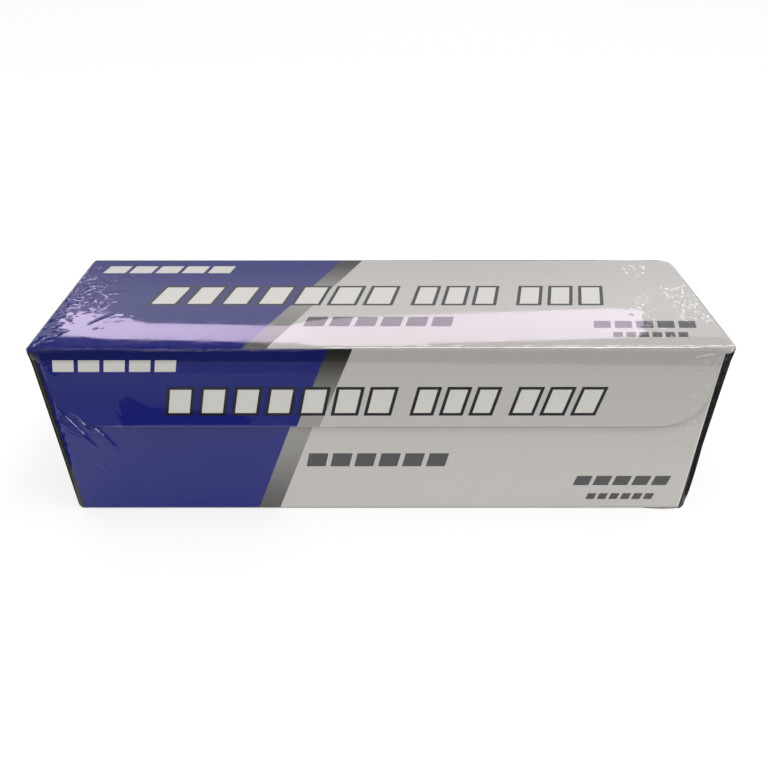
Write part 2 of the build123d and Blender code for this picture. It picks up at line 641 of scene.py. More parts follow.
        # painted shade: the band under the front fold is darkened towards the outline ink
        colour = graph.mix(band * 0.14, colour, inks.outline)
        colour, end = self.ends(graph, spot, colour)
        colour = self.edges(graph, spot, colour, end)
        grain = graph.noise(spot.place, inks.grain, 3.0, 4.0)
        relief = {"Strength": 0.04, "Distance": inks.grain_depth * MM, "Height": grain}
        graph.surface(graph.out("ShaderNodeBsdfPrincipled", {
            "Base Color": graph.mix(grain.ramp(0.30, 0.70, 0.0, 0.05), colour, inks.outline),
            "Roughness": grain.ramp(0.2, 0.8, inks.roughness - 0.06, inks.roughness + 0.06),
            "Specular IOR Level": inks.specular,
            "Normal": graph.out("ShaderNodeBump", relief),
        }))
        return material


@dataclass(frozen=True)
class FilmFinish:
    """The clear film: it passes the print through and mirrors the room by its Fresnel share."""

    tint: Colour = (0.990, 0.990, 0.995)
    gloss: Colour = (1.0, 0.985, 1.0)
    index: float = 1.45
    roughness: Range = (0.015, 0.045)
    cloud_size: float = 9.0

    def material(self) -> Material:
        """Builds the film's material.

        Returns:
            The material.
        """
        material, graph = fresh_material(FILM_SLOT)
        place = graph.out("ShaderNodeTexCoord", output="Object")
        cloud = graph.noise(place, 1.0 / (self.cloud_size * MM), 3.0, 2.0)
        rough = cloud.ramp(0.3, 0.7, *self.roughness)
        clear = graph.out("ShaderNodeBsdfTransparent", {"Color": (*self.tint, 1.0)})
        mirror = graph.out("ShaderNodeBsdfAnisotropic", {"Color": (*self.gloss, 1.0), "Roughness": rough})
        share = graph.out("ShaderNodeFresnel", {"IOR": self.index})
        graph.surface(graph.out("ShaderNodeMixShader", {0: share, 1: clear, 2: mirror}))
        return material


def smooth_step(start: float, end: float, value: np.ndarray) -> np.ndarray:
    """A smooth step from 0 to 1, while the value goes from start to end."""
    share = np.clip((value - start) / (end - start), 0.0, 1.0)
    return share * share * (3.0 - 2.0 * share)


def trail(knots: Sequence[Place], step: float) -> np.ndarray:
    """Lays close points along a smooth line.

    Args:
        knots: the points that the line passes through.
        step: about how far apart the new points are.

    Returns:
        The new points.
    """
    given = np.array(knots, float)
    ends = np.vstack([2.0 * given[0] - given[1], given, 2.0 * given[-1] - given[-2]])
    spans = []
    for before, start, end, after in zip(ends, ends[1:], ends[2:], ends[3:]):
        count = max(2, math.ceil(float(np.linalg.norm(end - start)) / step))
        t = np.linspace(0.0, 1.0, count, endpoint=False)[:, None]
        bend = (2.0 * before - 5.0 * start + 4.0 * end - after) * t**2
        twist = (3.0 * start - before - 3.0 * end + after) * t**3
        spans.append(0.5 * (2.0 * start + (end - before) * t + bend + twist))
    return np.vstack([*spans, given[-1:]])


def start_tree(name: str, numbers: Sequence[str],
               objects: Sequence[str] = ()) -> tuple[Graph, dict[str, Signal]]:
    """Starts a Geometry Nodes tree that takes a geometry, numbers, objects and the film's material.

    Args:
        name: name of the tree.
        numbers: names of its numbers.
        objects: names of its objects.

    Returns:
        The tree's graph and what arrives at its inputs, by name.
    """
    kinds = {"Geometry": "Geometry", **dict.fromkeys(numbers, "Float"), **dict.fromkeys(objects, "Object")}
    return start_group(name, "GeometryNodeTree", {**kinds, "Film": "Material"})


def finish_tree(graph: Graph, geometry: Signal, material: Signal) -> Tree:
    """Ends a Geometry Nodes tree: realizes the geometry and gives it its material.

    Args:
        graph: the tree's graph.
        geometry: what the tree made.
        material: its material.

    Returns:
        The tree.
    """
    whole = graph.out("GeometryNodeRealizeInstances", {0: geometry})
    painted = graph.out("GeometryNodeSetMaterial", {"Geometry": whole, "Material": material})
    return graph.finish("Geometry", {"Geometry": painted})


def bake(piece: Piece, tree: Tree, inputs: dict[str, Any]) -> None:
    """Runs a Geometry Nodes tree on a piece and keeps the result as its plain mesh.

    Args:
        piece: the piece.
        tree: the tree.
        inputs: values of the tree's named inputs.
    """
    modifier = piece.modifiers.new(tree.name, "NODES")
    modifier.node_group = tree
    for item in tree.interface.items_tree:
        if item.item_type == "SOCKET" and item.in_out == "INPUT" and item.name in inputs:
            modifier[item.identifier] = inputs[item.name]
    bpy.context.view_layer.update()
    depsgraph = bpy.context.evaluated_depsgraph_get()
    result = bpy.data.meshes.new_from_object(piece.evaluated_get(depsgraph))
    piece.modifiers.clear()
    piece.data = result
    result.name = piece.name


@dataclass(frozen=True)
class Crease:
    """A raised crease of the film, through places on one of its faces, in millimetres."""

    skin: Skin
    places: tuple[Place, ...]  # along the face and up it
    height: float  # how far its middle stands up
    width: float = 0.5  # how wide it is to each side

    def creases(self, chance: random.Random) -> list["Crease"]:
        """The crease itself."""
        return [self]


@dataclass(frozen=True)
class CreaseFan:
    """Creases that spread out from one place of a face, in millimetres and degrees."""

    skin: Skin
    root: Place  # where the fan spreads from
    turns: Range  # directions of its first and last crease
    count: int
    start: Range  # how far from the root each crease starts
    length: Range
    height: Range  # how far each stands up
    width: Range = (0.5, 0.6)  # how wide each is to each side

    def creases(self, chance: random.Random) -> list[Crease]:
        """Draws the fan.

        Args:
            chance: source of its unevenness.

        Returns:
            The creases.
        """
        made = []
        for number in range(self.count):
            share = (number + chance.uniform(0.1, 0.9)) / self.count
            turn = math.radians(self.turns[0] + (self.turns[1] - self.turns[0]) * share)
            bend = chance.uniform(-0.12, 0.12)
            start, length = chance.uniform(*self.start), chance.uniform(*self.length)
            places = tuple(
                (self.root[0] + (start + length * step) * math.cos(turn + bend * step),
                 self.root[1] + (start + length * step) * math.sin(turn + bend * step))
                for step in (0.0, 0.5, 1.0)
            )
            height, width = chance.uniform(*self.height), chance.uniform(*self.width)
            made.append(Crease(self.skin, places, height, width))
        return made


@dataclass(frozen=True)
class CreaseField:
    """Short creases strewn over a patch of a face, in millimetres and degrees."""

    skin: Skin
    low: Place  # lowest corner of the patch
    high: Place  # highest corner of the patch
    count: int
    turn: float  # direction that they run in
    spread: float  # how far each turns away from it
    length: Range
    height: Range  # how far each stands up
    width: Range = (0.5, 0.6)  # how wide each is to each side

    def creases(self, chance: random.Random) -> list[Crease]:
        """Strews the creases.

        Args:
            chance: source of their places.

        Returns:
            The creases.
        """
        made = []
        for _ in range(self.count):
            along, up = chance.uniform(self.low[0], self.high[0]), chance.uniform(self.low[1], self.high[1])
            turn = math.radians(self.turn + chance.uniform(-self.spread, self.spread))
            half = 0.5 * chance.uniform(*self.length)
            kink = 0.25 * half * chance.uniform(-1.0, 1.0)
            run, rise = half * math.cos(turn), half * math.sin(turn)
            middle = (along - kink * math.sin(turn), up + kink * math.cos(turn))
            places = ((along - run, up - rise), middle, (along + run, up + rise))
            height, width = chance.uniform(*self.height), chance.uniform(*self.width)
            made.append(Crease(self.skin, places, height, width))
        return made


Pattern = Union[Crease, CreaseFan, CreaseField]

# Side, height and directions of the fan in each corner of an upright face
FAN_CORNERS = ((-1, 99, (-15, -75)), (1, 99, (195, 255)), (-1, 1, (15, 75)), (1, 1, (105, 165)))
# Places of an ear: out from the middle of the end, and share of its rise
EAR = ((44.0, 1.0), (36.0, 0.55), (20.0, 0.06))


def corner_fans(skin: Skin, out: float, count: int, length: Range, height: Range,
                width: Range) -> list[Pattern]:
    """Fans that spread in from the four corners of an upright face, at a distance out from its middle."""
    return [CreaseFan(skin, (side * out, edge), turns, count, (5, 12), length, height, width)
            for side, edge, turns in FAN_CORNERS]


def end_creases(skin: Skin) -> list[Pattern]:
    """The creases of one end: an ear from each corner to the seam, with fans beside it.

    Args:
        skin: the end.

    Returns:
        The creases.
    """
    ears = [Crease(skin, tuple((side * out, 50.0 + share * rise) for out, share in EAR), 0.55, 1.6)
            for side in (-1.0, 1.0) for rise in (-47.0, 47.0)]
    fans = corner_fans(skin, 46, 11, (14, 34), (0.12, 0.30), (1.3, 1.8))
    strewn = CreaseField(skin, (-42, 5), (42, 95), 60, 90, 90, (4, 14), (0.06, 0.20), (1.3, 1.7))
    return [*ears, *fans, strewn]


CREASES = (
    Crease(Skin.FRONT, ((-154.4, 83.9), (-153.7, 75.1), (-152.6, 66.8)), 0.16),
    Crease(Skin.FRONT, ((-153.5, 68.5), (-149.8, 60.8), (-146.5, 55.0), (-141.9, 47.0), (-136.4, 36.7)),
           0.66, 0.6),
    Crease(Skin.FRONT, ((-141.3, 35.6), (-138.2, 26.7)), 0.40, 0.55),
    Crease(Skin.FRONT, ((-148.6, 65.3), (-143.9, 58.9), (-140.4, 53.2)), 0.55, 0.6),
    Crease(Skin.FRONT, ((-139.8, 57.5), (-134.6, 50.0), (-129.6, 41.6)), 0.50, 0.6),
    Crease(Skin.FRONT, ((-158.2, 62.4), (-156.0, 61.2), (-154.3, 58.9)), 0.24),
    Crease(Skin.FRONT, ((-155.8, 54.4), (-154.0, 51.4), (-152.3, 50.0)), 0.28),
    Crease(Skin.FRONT, ((-154.4, 45.8), (-151.6, 44.1)), 0.18),
    Crease(Skin.LID, ((-139.2, -26.6), (-133.1, -19.7), (-126.9, -13.6)), 0.09),
    Crease(Skin.LID, ((-142.2, -8.1), (-137.7, -5.6), (-135.7, -1.3)), 0.08),
    Crease(Skin.LID, ((-141.0, -11.5), (-136.9, -8.1), (-133.7, -6.5)), 0.08),
    Crease(Skin.LID, ((-139.7, -14.0), (-136.8, -10.7)), 0.07),
    Crease(Skin.LID, ((-140.6, 5.9), (-135.3, -1.3)), 0.10, 0.6),
    Crease(Skin.LID, ((-144.6, 4.1), (-142.1, -4.7)), 0.12, 0.9),
)
CRUMPLES = (
    CreaseFan(Skin.LID, (-159, 46), (-35, -75), 12, (10, 18), (9, 20), (0.03, 0.07)),
    CreaseFan(Skin.LID, (-159, -46), (25, 70), 7, (3, 7), (5, 10), (0.05, 0.10)),
    CreaseField(Skin.LID, (-146, 14), (-130, 34), 14, -52, 8, (7, 14), (0.03, 0.06)),
    CreaseField(Skin.LID, (-158.5, -40), (-152.5, 38), 46, 60, 80, (2, 6), (0.10, 0.24), (0.5, 0.8)),
    CreaseField(Skin.LID, (-154, -36), (-147, -6), 16, 20, 60, (2, 5), (0.03, 0.08)),
    CreaseField(Skin.LID, (-153, -8), (-140, 24), 34, 40, 80, (2, 7), (0.06, 0.16), (0.5, 0.8)),
    CreaseField(Skin.LID, (-146, -14), (-132, 8), 16, 30, 50, (3, 8), (0.03, 0.08)),
    CreaseField(Skin.LID, (-148, -32), (-110, -14), 40, 25, 30, (1.5, 5), (0.010, 0.026)),
    CreaseField(Skin.LID, (143, -24), (158.5, 14), 160, 60, 90, (0.6, 2), (0.07, 0.18), (0.45, 0.6)),
    CreaseField(Skin.LID, (126, -14), (138, 7), 34, 60, 90, (0.6, 2), (0.05, 0.12), (0.45, 0.55)),
    CreaseField(Skin.LID, (119, -38), (134, -10), 46, 60, 90, (0.6, 3), (0.02, 0.07), (0.45, 0.55)),
    CreaseField(Skin.LID, (129, 22), (145, 38), 8, -38, 12, (2.5, 5.5), (0.05, 0.09), (0.45, 0.5)),
    CreaseField(Skin.LID, (129, 24), (143, 38), 7, 35, 12, (2.5, 5), (0.05, 0.09), (0.45, 0.5)),
    CreaseFan(Skin.FRONT, (-159, 99), (-20, -62), 12, (7, 12), (6, 14), (0.03, 0.07)),
    CreaseFan(Skin.FRONT, (-161, 58), (-20, -58), 9, (8, 14), (10, 22), (0.10, 0.22)),
    CreaseFan(Skin.FRONT, (-159, 1), (8, 55), 10, (5, 9), (8, 16), (0.10, 0.20), (0.5, 0.7)),
    CreaseField(Skin.FRONT, (-153, 22), (-130, 60), 15, -56, 9, (7, 17), (0.12, 0.24)),
    CreaseFan(Skin.FRONT, (159, 99), (190, 245), 18, (5, 11), (6, 16), (0.06, 0.13)),
    CreaseField(Skin.FRONT, (144, 18), (153, 88), 24, 178, 14, (3, 8), (0.22, 0.38), (0.6, 0.8)),
    *corner_fans(Skin.BACK, 159, 9, (10, 26), (0.12, 0.25), (1.3, 1.7)),
    *end_creases(Skin.LEFT),
    *end_creases(Skin.RIGHT),
)
SWELLS = (
    Crease(Skin.FRONT, ((-128.4, 75.0), (-125.4, 63.0), (-121.4, 46.0)), 0.26, 2.6),
    Crease(Skin.FRONT, ((-140.5, 55.5), (-134.0, 44.5), (-127.8, 33.5)), 0.45, 3.4),
    Crease(Skin.FRONT, ((-150.5, 89.0), (-149.0, 78.0)), 0.15, 2.5),
    Crease(Skin.FRONT, ((136.0, 1.8), (150.0, 1.6), (159.5, 2.5)), 1.60, 4.5),
    Crease(Skin.RIGHT, ((-47.0, 3.0), (-42.0, 16.0), (-40.0, 40.0)), 0.80, 6.0),
)
# The creases by the name of the input that brings them to the film
LINES = {"Creases": CREASES, "Crumples": CRUMPLES, "Swells": SWELLS}


@dataclass(frozen=True)
class Wrinkles:
    """How slack the film is, in millimetres."""

    slack_height: float = 0.12  # height of the slow waves near the ends
    slack_size: float = 20.0  # length of those waves
    ripple_height: float = 0.22  # height of the ripples along the front fold
    ripple_size: float = 4.5  # length of those ripples
    spacing: float = 0.4  # distance between the points that stand for a crease
    taper: float = 0.8  # how finely a crease runs out at its ends
    sharpness: float = 1.6  # how steeply it falls off to its sides
    seed: int = 4  # picks the waves and the strewn creases


@dataclass
class ShrinkFilm:
    """The clear film round the whole carton, in millimetres."""

    sizes: CartonSizes
    wrinkles: Wrinkles = Wrinkles()
    stand_off: float = 0.16  # how far it stands off the board
    underside: float = 0.12  # how far it lies under the bottom panel
    fold_radius: float = 1.6  # radius over the folds
    least_round: float = 1.2  # least radius over an upright edge
    press: float = 2.8  # how much tighter an upright edge is for each millimetre that the end swells less
    foot_reach: float = 12.0  # distance from the end within which its rounder foot draws the film in
    # Reach in from each end, and size of the mesh up to there
    length_bands: tuple[Range, ...] = ((46.0, 1.9), (200.0, 5.2))
    side_bands: tuple[Range, ...] = ((100.0, 1.9),)
    fine_from: float = 114.0  # distance from the middle at which the lid and front get a finer mesh
    fold_reach: float = 4.2  # distance from the front fold within which the mesh is finest
    # Face, and lowest and highest corner of each patch that gets the finest mesh
    finest: tuple[tuple[Skin, Place, Place], ...] = (
        (Skin.FRONT, (-157.0, 1.0), (-118.0, 97.0)),
        (Skin.FRONT, (140.0, 16.0), (157.0, 97.0)),
        (Skin.LID, (-157.5, -42.0), (-128.0, 42.0)),
        (Skin.LID, (124.0, -42.0), (157.5, 42.0)),
    )

    @property
    def half_length(self) -> float:
        """Half the film's length at the end folds."""
        return self.sizes.half_length + self.stand_off

    @property
    def front(self) -> float:
        """y of the film in front of the lid."""
        return self.sizes.lid_front - self.stand_off

    @property
    def back(self) -> float:
        """y of the film's back."""
        return self.sizes.high[1] + self.stand_off

    @property
    def top(self) -> float:
        """z of the film over the lid."""
        return self.sizes.height + self.stand_off

    def swell(self, up: np.ndarray) -> np.ndarray:
        """How far the ends swell at a height."""
        middle = 0.5 * self.sizes.height
        return self.sizes.end_bulge * np.clip(1.0 - ((up - middle) / middle) ** 2, 0.0, 1.0)

    def proud(self, along: np.ndarray, up: np.ndarray) -> np.ndarray:
        """How far the film stands in front of the lid's front: out over the sprung flap, back at the foot.

        Args:
            along: places along the carton.
            up: heights.

        Returns:
            The distances.
        """
        size = self.sizes
        over_flap = np.interp(up, (0.0, size.flap_edge, size.lip), (-size.board, size.flap_spring, 0.0))
        beside = np.interp(up, (0.0, size.lip - 6.0, size.lip), (-size.board, -size.board, 0.0))
        share = smooth_step(size.flap_half_length, self.half_length, np.abs(along))
        return over_flap + (beside - over_flap) * share

    def on_skin(self, skin: Skin, along: np.ndarray, up: np.ndarray) -> np.ndarray:
        """Points of the smooth film.

        Args:
            skin: the face.
            along: places along the face.
            up: places up the face.

        Returns:
            The points, in millimetres.
        """
        level = np.zeros_like(along)
        if skin is Skin.LID:
            return np.stack([along, up, level + self.top], axis=1)
        if skin is Skin.FRONT:
            return np.stack([along, self.front - self.proud(along, up), up], axis=1)
        if skin is Skin.BACK:
            return np.stack([along, level + self.back, up], axis=1)
        side = -1.0 if skin is Skin.LEFT else 1.0
        return np.stack([side * (self.half_length + self.swell(up)), along, up], axis=1)

    def axis(self, low: float, high: float, bands: Sequence[Range]) -> np.ndarray:
        """Places of the mesh lines along one axis, the same from both ends.

        Args:
            low: first place.
            high: last place.
            bands: reach in from the end, and size of the mesh up to there, for each band.

        Returns:
            The places.
        """
        half = 0.5 * (high - low)
        stops = [0.0, self.fold_radius, *(min(reach, half) for reach, _ in bands)]
        sizes = [0.25 * self.fold_radius, *(size for _, size in bands)]
        runs = [np.linspace(first, last, max(1, round((last - first) / size)) + 1)[:-1]
                for first, last, size in zip(stops, stops[1:], sizes)]
        left = np.concatenate([*runs, [half]])
        return np.concatenate([low + left, (high - left[:-1])[::-1]])

    def bend(self, into: np.ndarray) -> np.ndarray:
        """How far round a fold the film is, at a distance in from the edge."""
        return EIGHTH_TURN * np.clip(1.0 - into / self.fold_radius, 0.0, 1.0)

    def turn(self, into: np.ndarray) -> np.ndarray:
        """Moves a place on a face out round the fold at its edge."""
        bent = self.fold_radius * (1.0 - np.sin(self.bend(into)))
        return np.where(into < self.fold_radius, bent, into)

    def sink(self, into: np.ndarray) -> np.ndarray:
        """How far the fold at a face's edge draws the face in."""
        return self.fold_radius * (1.0 - np.cos(self.bend(into)))

    def round_off(self, radius: float, rise: np.ndarray) -> np.ndarray:
        """How far a fold of a radius draws a wall in at a height above its foot."""
        inside = np.clip(radius - rise, 0.0, radius)
        return radius - np.sqrt(radius**2 - inside**2)

    def wrap(self, box: np.ndarray) -> np.ndarray:
        """Moves points of a plain box on to the film's skin, round its folds and upright edges.

        Args:
            box: points on the box's faces.

        Returns:
            The points on the film, in millimetres.
        """
        x, y, z = box.T.copy()
        middle, half_depth = 0.5 * (self.front + self.back), 0.5 * (self.back - self.front)
        half_length = self.half_length
        low, high = -self.underside, self.top
        rest = y - middle
        into_x, into_y = half_length - np.abs(x), half_depth - np.abs(rest)
        into_z = np.minimum(high - z, z - low)
        nearest = np.minimum(into_x, into_y)
        side = nearest < 1e-3
        inset = self.sink(into_z)
        new_z = np.where(side, self.turn(into_z), self.sink(nearest))
        z = np.where(z > 0.5 * (low + high), high - new_z, low + new_z)
        level_x = np.sign(x) * (half_length - self.turn(into_x))
        level_y = np.sign(rest) * (half_depth - self.turn(into_y))
        x = np.where(side, x * (half_length - inset) / half_length, level_x)
        rest = np.where(side, rest * (half_depth - inset) / half_depth, level_y)
        swell = self.swell(z)
        reach = half_length + swell
        x = x * reach / half_length
        for sign_x, sign_y, radius in self.sizes.rounds:
            pressed = radius + self.stand_off - self.press * (self.sizes.end_bulge - swell)
            bend = np.maximum(self.least_round, pressed)
            out_x = (sign_x * x - (reach - bend)) / bend
            out_y = (sign_y * rest - (half_depth - bend)) / bend
            corner = (out_x > 0.0) & (out_y > 0.0)
            far, near = np.maximum(out_x, out_y), np.minimum(out_x, out_y)
            angle = EIGHTH_TURN * near / np.maximum(far, 1e-9)
            wide, narrow = far * np.cos(angle), far * np.sin(angle)
            new_x = sign_x * (reach - bend + bend * np.where(out_x >= out_y, wide, narrow))
            new_y = sign_y * (half_depth - bend + bend * np.where(out_x >= out_y, narrow, wide))
            x = np.where(corner, new_x, x)
            rest = np.where(corner, new_y, rest)
        y = rest + middle
        y = y - self.proud(x, z) * (self.back - y) / (self.back - self.front)
        near_end = np.clip((np.abs(x) - half_length) / self.foot_reach + 1.0, 0.0, 1.0)
        foot = self.round_off(self.sizes.end_foot, z - low) - self.round_off(self.fold_radius, z - low)
        x = x - np.sign(x) * near_end * foot
        return np.stack([x, y, z], axis=1)

    def weights(self, box: np.ndarray) -> dict[str, np.ndarray]:
        """How slack, rippled and free the film is at each point.

        Args:
            box: points on the plain box's faces.

        Returns:
            The weights, each from 0 to 1, by name.
        """
        x, y, z = box.T
        at_fold = smooth_step(97.0, 99.2, z) * smooth_step(-2.4, -0.8, self.front - y)
        at_ends = 0.05 + 0.95 * smooth_step(95.0, 150.0, np.abs(x))
        return {
            "slack": at_ends * (1.0 - 0.7 * smooth_step(98.0, 100.0, z)),
            "ripple": at_fold * (0.12 + 0.88 * smooth_step(-25.0, 30.0, x)),
            "free": smooth_step(-0.1, 1.5, z),
        }

    def fineness(self, place: Vector) -> int:
        """How often the mesh is halved.

        Args:
            place: a point of the plain box.

        Returns:
            0, 1 or 2.
        """
        on_front, on_lid = place.y < self.front + 1e-3, place.z > self.top - 1e-3
        if place.y < self.front + self.fold_reach and place.z > self.top - self.fold_reach:
            return 2
        if not (on_front or on_lid) or abs(place.x) < self.fine_from:
            return 0
        for skin, low, high in self.finest:
            on_skin, up = (on_lid, place.y) if skin is Skin.LID else (on_front, place.z)
            if on_skin and low[0] < place.x < high[0] and low[1] < up < high[1]:
                return 2
        return 1

    def box_mesh(self) -> Mesh:
        """Builds the plain box that the film is wrapped from.

        Returns:
            The mesh, in millimetres.
        """
        axes = (
            self.axis(-self.half_length, self.half_length, self.length_bands),
            self.axis(self.front, self.back, self.side_bands),
            self.axis(-self.underside, self.top, self.side_bands),
        )
        counts = tuple(len(axis) for axis in axes)
        grid = np.stack(np.meshgrid(*[np.arange(n) for n in counts], indexing="ij"), axis=-1)
        rim = np.zeros(counts, bool)
        for direction, count in enumerate(counts):
            rim |= (grid[..., direction] == 0) | (grid[..., direction] == count - 1)
        index = np.full(counts, -1)
        index[rim] = np.arange(int(rim.sum()))
        box = np.stack([axes[d][grid[rim][:, d]] for d in range(3)], axis=1)
        quads = []
        for direction in range(3):
            for end in (0, counts[direction] - 1):
                face = np.take(index, end, axis=direction)
                corners = [face[:-1, :-1], face[1:, :-1], face[1:, 1:], face[:-1, 1:]]
                quads.append(np.stack(corners, axis=-1).reshape(-1, 4))
        mesh = bpy.data.meshes.new("clear_film")
        mesh.from_pydata(box.tolist(), [], np.concatenate(quads).tolist())
        return mesh

    def skin_mesh(self) -> Mesh:
        """Builds the film's closed mesh, still smooth.

        Returns:
            The mesh, in metres, with its weights as attributes.
        """
        mesh = self.box_mesh()
        work = bmesh.new()
        work.from_mesh(mesh)
        for level in (1, 2):
            fine = [edge for edge in work.edges
                    if all(self.fineness(end.co) >= level for end in edge.verts)]
            bmesh.ops.subdivide_edges(work, edges=fine, cuts=1, use_grid_fill=True)
        bmesh.ops.recalc_face_normals(work, faces=work.faces)
        box = np.array([vertex.co for vertex in work.verts], float)
        for vertex, place in zip(work.verts, self.wrap(box) * MM):
            vertex.co = place
        work.to_mesh(mesh)
        work.free()
        for name, values in self.weights(box).items():
            layer = mesh.attributes.new(name, "FLOAT", "POINT")
            layer.data.foreach_set("value", values.astype(np.float32))
        mesh.polygons.foreach_set("use_smooth", [True] * len(mesh.polygons))
        return mesh

    def crease_points(self, name: str, patterns: Sequence[Pattern]) -> Piece:
        """Lays creases out as close points on the film, each with its height and width.

        Args:
            name: name of the object.
            patterns: the creases, fans and fields.

        Returns:
            An object of loose points, used while the film is made.
        """
        chance = random.Random(self.wrinkles.seed)
        places, rises, widths = [], [], []
        for pattern in patterns:
            for crease in pattern.creases(chance):
                line = trail(crease.places, self.wrinkles.spacing)
                taper = np.sin(np.linspace(0.0, math.pi, len(line))).clip(0.0) ** self.wrinkles.taper
                places.append(self.on_skin(crease.skin, *line.T))
                rises.append(crease.height * taper)
                widths.append(np.full(len(line), crease.width))
        mesh = bpy.data.meshes.new(name)
        mesh.from_pydata((np.concatenate(places) * MM).tolist(), [], [])
        for label, values in (("rise", rises), ("wide", widths)):
            layer = mesh.attributes.new(label, "FLOAT", "POINT")
            layer.data.foreach_set("value", (np.concatenate(values) * MM).astype(np.float32))
        return add_piece(name, mesh)

    def named(self, graph: Graph, name: str) -> Signal:
        """Reads a named attribute of the mesh."""
        return graph.out("GeometryNodeInputNamedAttribute", {"Name": name}, "Attribute", data_type="FLOAT")

    def ridge(self, graph: Graph, points: Signal, place: Signal) -> Signal:
        """Raises the film near the points of its creases.

        Args:
            graph: the tree's graph.
            points: the object that holds the points.
            place: place on the film.

        Returns:
            How far the film is raised.
        """
        cloud = graph.out("GeometryNodeObjectInfo", {"Object": points}, "Geometry")
        nearest = graph.out("GeometryNodeSampleNearest", {"Geometry": cloud}, "Index", domain="POINT")

        def there(kind: str, value: Signal) -> Signal:
            """Reads a value at the nearest point."""
            inputs = {"Geometry": cloud, "Value": value, "Index": nearest}
            return graph.out("GeometryNodeSampleIndex", inputs, "Value", data_type=kind, domain="POINT")

        ends = {0: place, 1: there("FLOAT_VECTOR", place)}
        gap = graph.out("ShaderNodeVectorMath", ends, "Value", operation="DISTANCE")
        share = gap / there("FLOAT", self.named(graph, "wide"))
        fall = share**self.wrinkles.sharpness * -1.0
        return graph.math("EXPONENT", fall) * there("FLOAT", self.named(graph, "rise"))

    def wrinkle_tree(self) -> Tree:
        """Builds the Geometry Nodes tree that wrinkles the film.

        Returns:
            The tree.
        """
        numbers = ("Slack Height", "Slack Size", "Ripple Height", "Ripple Size", "Seed")
        graph, given = start_tree("film_wrinkles", numbers, tuple(LINES))
        place = graph.out("GeometryNodeInputPosition")

        def wave(kind: str) -> Signal:
            """Makes slow noise of one kind."""
            noise = graph.noise(place, graph.math("DIVIDE", 1.0, given[kind + " Size"]), 1.0, given["Seed"])
            return (noise - 0.5) * given[kind + " Height"] * self.named(graph, kind.lower())

        total = wave("Slack") + wave("Ripple")
        for name in LINES:
            total = total + self.ridge(graph, given[name], place)
        normal = graph.out("GeometryNodeInputNormal")
        reach = total * self.named(graph, "free")
        push = graph.out("ShaderNodeVectorMath", {0: normal, "Scale": reach}, operation="SCALE")
        moved = graph.out("GeometryNodeSetPosition", {"Geometry": given["Geometry"], "Offset": push})
        return finish_tree(graph, moved, given["Film"])

    def build(self, material: Material) -> Piece:
        """Makes the wrinkled film.

        Args:
            material: the film's material.

        Returns:
            The piece, riding with the carton.
        """
        piece = add_piece("clear_film", self.skin_mesh())
        helpers = {name: self.crease_points(name, patterns) for name, patterns in LINES.items()}
        size = self.wrinkles
        bake(piece, self.wrinkle_tree(), {
            "Slack Height": size.slack_height * MM,
            "Slack Size": size.slack_size * MM,
            "Ripple Height": size.ripple_height * MM,
            "Ripple Size": size.ripple_size * MM,
            "Seed": float(size.seed),
            "Film": material,
            **helpers,
        })
        for helper in helpers.values():
            bpy.data.objects.remove(helper)
        settle_film(piece)
        return piece


def settle_film(piece: Piece) -> None:
    """Lets light through a piece of film and makes it ride with the carton.

    Args:
        piece: the piece.
    """
    for name in ("slack", "ripple", "free"):
        layer = piece.data.attributes.get(name)
        if layer is not None:
            piece.data.attributes.remove(layer)
    piece.visible_diffuse = False
    piece.visible_shadow = False
    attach(piece, "root")
    LOG.info("%s: %d faces", piece.name, len(piece.data.polygons))


